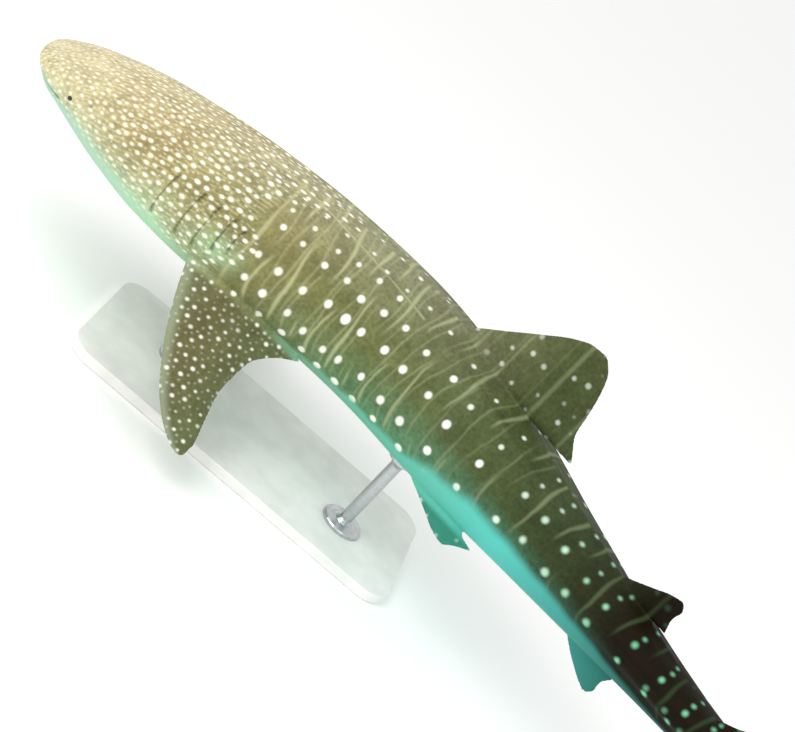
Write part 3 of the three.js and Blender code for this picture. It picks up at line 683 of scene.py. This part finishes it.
def marked_skin():
    obj = fused_skin()
    skin = Skin(obj)
    move = feature_depth(skin)
    spots = np.zeros(len(skin.s))
    trunk_spots(skin, spots)
    head_spots(skin, spots)
    fin_spots(skin, spots)
    bars = np.zeros(len(skin.s))
    trunk_bars(skin, bars)
    bars *= 1 - np.where(skin.s < 38, 0.8, 0.5) * skin.fin
    belly = belly_cover(skin)
    # Painted shade: darker colour where the skin is pressed in, full at the mouth, nostrils, eye
    # sockets and spiracles, weaker in the gill slits
    shade = smooth(-move, 0.005, 0.016) * np.where(skin.s > 10, 0.55, 1.0)
    write(skin, "station", skin.s)
    write(skin, "turn", skin.angle)
    write(skin, "spots", spots * (1 - belly) ** 0.5)
    write(skin, "lines", np.maximum(bars, head_lines(skin)) * (1 - belly))
    write(skin, "teal", teal_cover(skin))
    write(skin, "mint", gill_glow(skin))
    write(skin, "margin", fin_margin(skin))
    write(skin, "dark_fin", skin.fin * (1 - smooth(skin.s, PECTORAL_END, PECTORAL_END + 2)))
    write(skin, "belly", belly)
    write(skin, "hollow_shade", shade)
    moved = skin.p + skin.n * move[:, None]
    obj.data.vertices.foreach_set("co", moved.ravel())
    obj.data.update()
    obj.data.polygons.foreach_set("use_smooth", np.ones(len(obj.data.polygons), dtype=bool))
    return obj


# Materials
class Nodes:
    """Short hand for building a material's nodes."""

    def __init__(self, name):
        self.material = bpy.data.materials.new(name)
        self.material.use_nodes = True
        self.tree = self.material.node_tree
        self.shader = self.tree.nodes["Principled BSDF"]

    def add(self, kind, **settings):
        node = self.tree.nodes.new(kind)
        for key, value in settings.items():
            setattr(node, key, value)
        return node

    def link(self, source, target):
        self.tree.links.new(source, target)

    def attribute(self, name):
        return self.add("ShaderNodeAttribute", attribute_name=name).outputs["Fac"]

    def ramp(self, source, stops):
        node = self.add("ShaderNodeValToRGB")
        elements = node.color_ramp.elements
        while len(elements) < len(stops):
            elements.new(0.5)
        for element, (at, colour) in zip(elements, stops):
            element.position = at
            element.color = (*colour, 1)
        self.link(source, node.inputs["Fac"])
        return node.outputs["Color"]

    def math(self, kind, a, b=None):
        node = self.add("ShaderNodeMath", operation=kind)
        for k, value in enumerate((a, b)):
            if value is None:
                continue
            if isinstance(value, (int, float)):
                node.inputs[k].default_value = value
            else:
                self.link(value, node.inputs[k])
        return node.outputs[0]

    def mix(self, factor, a, b, blend="MIX"):
        node = self.add("ShaderNodeMix", data_type="RGBA", blend_type=blend)
        for socket, value in ((node.inputs[0], factor), (node.inputs[6], a), (node.inputs[7], b)):
            if isinstance(value, (int, float)):
                socket.default_value = value
            elif isinstance(value, tuple):
                socket.default_value = (*value, 1)
            else:
                self.link(value, socket)
        return node.outputs[2]

    def noise(self, scale, detail=3.0, vector=None):
        node = self.add("ShaderNodeTexNoise")
        node.inputs["Scale"].default_value = scale
        node.inputs["Detail"].default_value = detail
        if vector is None:
            vector = self.add("ShaderNodeTexCoord").outputs["Object"]
        self.link(vector, node.inputs["Vector"])
        return node.outputs["Fac"]

    def rise(self, value, low, high):
        """0 at low and 1 at high, and held beyond them."""
        node = self.add("ShaderNodeMapRange", clamp=True)
        self.link(value, node.inputs["Value"])
        node.inputs["From Min"].default_value = low
        node.inputs["From Max"].default_value = high
        return node.outputs["Result"]

    def bump(self, height, strength, distance):
        node = self.add("ShaderNodeBump")
        node.inputs["Strength"].default_value = strength
        node.inputs["Distance"].default_value = distance
        self.link(height, node.inputs["Height"])
        self.link(node.outputs["Normal"], self.shader.inputs["Normal"])


def rgb(*levels):
    """Linear colour from display levels of 0 to 255."""
    return tuple(((v / 255 + 0.055) / 1.055) ** 2.4 if v > 10 else v / 255 / 12.92 for v in levels)


WHITE = rgb(255, 255, 255)
# Colours of back, flank, lower flank, underside, spots and lines at shares of the length
# The cream head, paler on the back than on the flank, is painted light falling on its top; the
# darkening towards a near black tail is partly the animal's darker tail and partly painted shade;
# the underside is darkened with painted shade
BACK = [(0.03, (226, 214, 174)), (0.15, (198, 186, 144)), (0.30, (162, 162, 128)),
        (0.50, (84, 94, 56)), (0.60, (60, 74, 44)), (0.70, (24, 16, 0))]
FLANK = [(0.03, (216, 206, 162)), (0.14, (170, 160, 110)), (0.30, (126, 129, 80)),
         (0.50, (88, 102, 62)), (0.60, (60, 74, 40)), (0.70, (24, 15, 0))]
LOW = [(0.05, (206, 224, 190)), (0.15, (196, 220, 176)), (0.24, (140, 144, 96)),
       (0.36, (106, 144, 100)), (0.56, (84, 156, 124)), (0.72, (20, 30, 20))]
UNDER = [(0.05, (170, 206, 182)), (0.16, (174, 218, 182)), (0.25, (138, 160, 120)),
         (0.40, (108, 186, 156)), (0.58, (88, 192, 180)), (0.74, (30, 92, 84))]
SPOTS = [(0.03, (240, 236, 206)), (0.26, (252, 252, 236)), (0.50, (250, 253, 242)),
         (0.70, (126, 206, 160))]
LINES = [(0.05, (228, 214, 164)), (0.36, (176, 184, 142)), (0.72, (52, 78, 46))]


def skin_material():
    m = Nodes("shark_skin")
    station = m.math("DIVIDE", m.attribute("station"), 100.0)

    def along(stops):
        return m.ramp(station, [(at, rgb(*colour)) for at, colour in stops])
    high = m.math("DIVIDE", m.math("ADD", m.attribute("turn"), 90.0), 180.0)
    # Along the length these colours carry painted light on the head, and painted shade towards the
    # tail and on the underside
    base = m.mix(m.rise(high, 0.62, 0.97), along(FLANK), along(BACK))
    base = m.mix(m.rise(high, 0.56, 0.36), base, along(LOW))
    warm = m.ramp(m.noise(3.2, 3.0), [(0.42, rgb(0, 0, 0)), (0.66, WHITE)])
    front = along([(0.03, (0, 0, 0)), (0.08, (150, 150, 150)), (0.20, (120, 120, 120)),
                   (0.32, (0, 0, 0))])
    base = m.mix(m.math("MULTIPLY", warm, front), base, rgb(158, 118, 62))
    blotch = m.ramp(m.noise(9.0, 5.0), [(0.3, rgb(178, 178, 178)), (0.7, WHITE)])
    base = m.mix(0.55, base, blotch, "MULTIPLY")
    fine = m.ramp(m.noise(48.0, 6.0), [(0.32, rgb(184, 176, 160)), (0.66, WHITE)])
    base = m.mix(0.55, base, fine, "MULTIPLY")
    base = m.mix(m.math("MULTIPLY", m.attribute("dark_fin"), 0.55), base, rgb(70, 62, 38))
    base = m.mix(m.math("MULTIPLY", m.attribute("margin"), 0.7), base, rgb(146, 156, 128))
    base = m.mix(m.math("MULTIPLY", m.attribute("teal"), 0.75), base, rgb(40, 128, 112))
    base = m.mix(m.math("MULTIPLY", m.attribute("mint"), 0.55), base, rgb(158, 206, 158))
    base = m.mix(m.math("MULTIPLY", m.attribute("lines"), 0.8), base, along(LINES))
    base = m.mix(m.attribute("belly"), base, along(UNDER))
    base = m.mix(m.attribute("spots"), base, along(SPOTS))
    # Painted shade in the pressed-in mouth, gill slits, nostrils, eye sockets and spiracles
    base = m.mix(m.math("MULTIPLY", m.attribute("hollow_shade"), 0.75), base, rgb(56, 54, 40))
    m.link(base, m.shader.inputs["Base Color"])
    m.shader.inputs["Roughness"].default_value = 0.58
    m.shader.inputs["Specular IOR Level"].default_value = 0.1
    grain = m.math("ADD", m.math("MULTIPLY", m.noise(420.0, 2.0), 0.5), m.noise(38.0, 3.0))
    m.bump(grain, 0.25, 0.004)
    return m.material


def eye_material():
    m = Nodes("eye_gloss")
    m.shader.inputs["Base Color"].default_value = (*rgb(14, 14, 16), 1)
    m.shader.inputs["Roughness"].default_value = 0.06
    m.shader.inputs["Coat Weight"].default_value = 0.6
    return m.material


def plate_material():
    m = Nodes("stand_plate")
    shade = m.ramp(m.noise(6.0, 4.0), [(0.35, rgb(226, 226, 222)), (0.65, rgb(238, 238, 235))])
    m.link(shade, m.shader.inputs["Base Color"])
    m.shader.inputs["Roughness"].default_value = 0.5
    m.bump(m.noise(260.0, 2.0), 0.12, 0.001)
    return m.material


def steel_material():
    m = Nodes("stand_steel")
    stretch = m.add("ShaderNodeMapping")
    m.link(m.add("ShaderNodeTexCoord").outputs["Object"], stretch.inputs["Vector"])
    stretch.inputs["Scale"].default_value = (1, 1, 40)
    streaks = m.noise(22.0, 3.0, stretch.outputs["Vector"])
    shade = m.ramp(streaks, [(0.3, rgb(176, 178, 180)), (0.7, rgb(206, 208, 210))])
    m.link(shade, m.shader.inputs["Base Color"])
    m.shader.inputs["Metallic"].default_value = 1.0
    m.shader.inputs["Roughness"].default_value = 0.34
    m.bump(streaks, 0.1, 0.0006)
    return m.material


def floor_material():
    m = Nodes("studio_floor")
    m.shader.inputs["Base Color"].default_value = (*rgb(253, 253, 252), 1)
    m.shader.inputs["Roughness"].default_value = 0.9
    m.shader.inputs["Specular IOR Level"].default_value = 0.1
    return m.material


# Pieces
FLESH = ["head", "trunk", "tail", "caudal_fin_upper", "caudal_fin_lower", "dorsal_fin_first",
         "dorsal_fin_second", "anal_fin", "pectoral_fin_left", "pectoral_fin_right",
         "pelvic_fin_left", "pelvic_fin_right"]
skin_piece = marked_skin()
skin_piece.data.materials.clear()
skin_piece.data.materials.append(skin_material())
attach(skin_piece, "root")
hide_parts(*FLESH)

eye_look = eye_material()
for side_name, mirror in (("left", 1), ("right", -1)):
    bpy.ops.mesh.primitive_uv_sphere_add(segments=48, ring_count=32, radius=EYE_RADIUS,
                                         location=Vector(eye_centre(mirror)))
    ball = bpy.context.active_object
    ball.name = f"eyeball_{side_name}"
    for face in ball.data.polygons:
        face.use_smooth = True
    ball.data.materials.append(eye_look)
    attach(ball, "root")
    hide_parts(f"eye_{side_name}")

steel_look = steel_material()
for name, look in (("stand_base", plate_material()), ("stand_rod_front", steel_look),
                   ("stand_rod_rear", steel_look)):
    node = bpy.data.objects[name]
    node.data.materials.clear()
    node.data.materials.append(look)


# Floor, light and camera
FLOOR_SIZE = 160
WORLD_STRENGTH = 0.93
# Lamps: name, place, size, watts
LAMPS = [("key", (-4.5, -4.0, 7.0), 5.0, 300), ("fill", (4.5, -5.5, 4.5), 5.0, 120)]


def studio():
    bpy.ops.mesh.primitive_plane_add(size=FLOOR_SIZE, location=(0, 0, -0.0005))
    floor = bpy.context.active_object
    floor.name = "studio_floor"
    floor.data.materials.append(floor_material())
    bpy.context.scene.view_settings.view_transform = "Standard"
    world = bpy.data.worlds.new("studio")
    bpy.context.scene.world = world
    world.use_nodes = True
    sky = world.node_tree.nodes["Background"]
    sky.inputs["Color"].default_value = (1, 1, 1, 1)
    sky.inputs["Strength"].default_value = WORLD_STRENGTH
    for name, at, size, power in LAMPS:
        light = bpy.data.lights.new(name, "AREA")
        light.size = size
        light.energy = power
        lamp = bpy.data.objects.new(name, light)
        lamp.location = at
        aim = Vector((0, 0, AXIS_HEIGHT)) - Vector(at)
        lamp.rotation_euler = aim.to_track_quat("-Z", "Y").to_euler()
        bpy.context.scene.collection.objects.link(lamp)


def photo_camera():
    azimuth = math.radians(CAMERA_AZIMUTH)
    elevation = math.radians(CAMERA_ELEVATION)
    roll = math.radians(CAMERA_ROLL)
    level = math.cos(elevation)
    back = Vector((math.sin(azimuth) * level, -math.cos(azimuth) * level, math.sin(elevation)))
    right = Vector((math.cos(azimuth), math.sin(azimuth), 0))
    up = back.cross(right)
    across = right * math.cos(roll) + up * math.sin(roll)
    upward = up * math.cos(roll) - right * math.sin(roll)
    snout = place(np.array([0.0]), np.array([0.0]), np.array([0.0]))[0]
    aim = Vector(snout) + Vector((AIM_STATION * PC, 0, 0))
    data = bpy.data.cameras.new("camera")
    data.sensor_width = 36.0
    data.lens = PIXELS_PER_METRE * CAMERA_DISTANCE * data.sensor_width / IMAGE_WIDTH
    data.shift_x = -(AIM_PIXEL[0] - IMAGE_WIDTH / 2) / IMAGE_WIDTH
    data.shift_y = (AIM_PIXEL[1] - IMAGE_HEIGHT / 2) / IMAGE_WIDTH
    data.clip_end = 300
    camera = bpy.data.objects.new("camera", data)
    turn = Matrix((across, upward, back)).transposed()
    camera.matrix_world = Matrix.Translation(aim + back * CAMERA_DISTANCE) @ turn.to_4x4()
    bpy.context.scene.collection.objects.link(camera)
    bpy.context.scene.camera = camera


studio()
photo_camera()
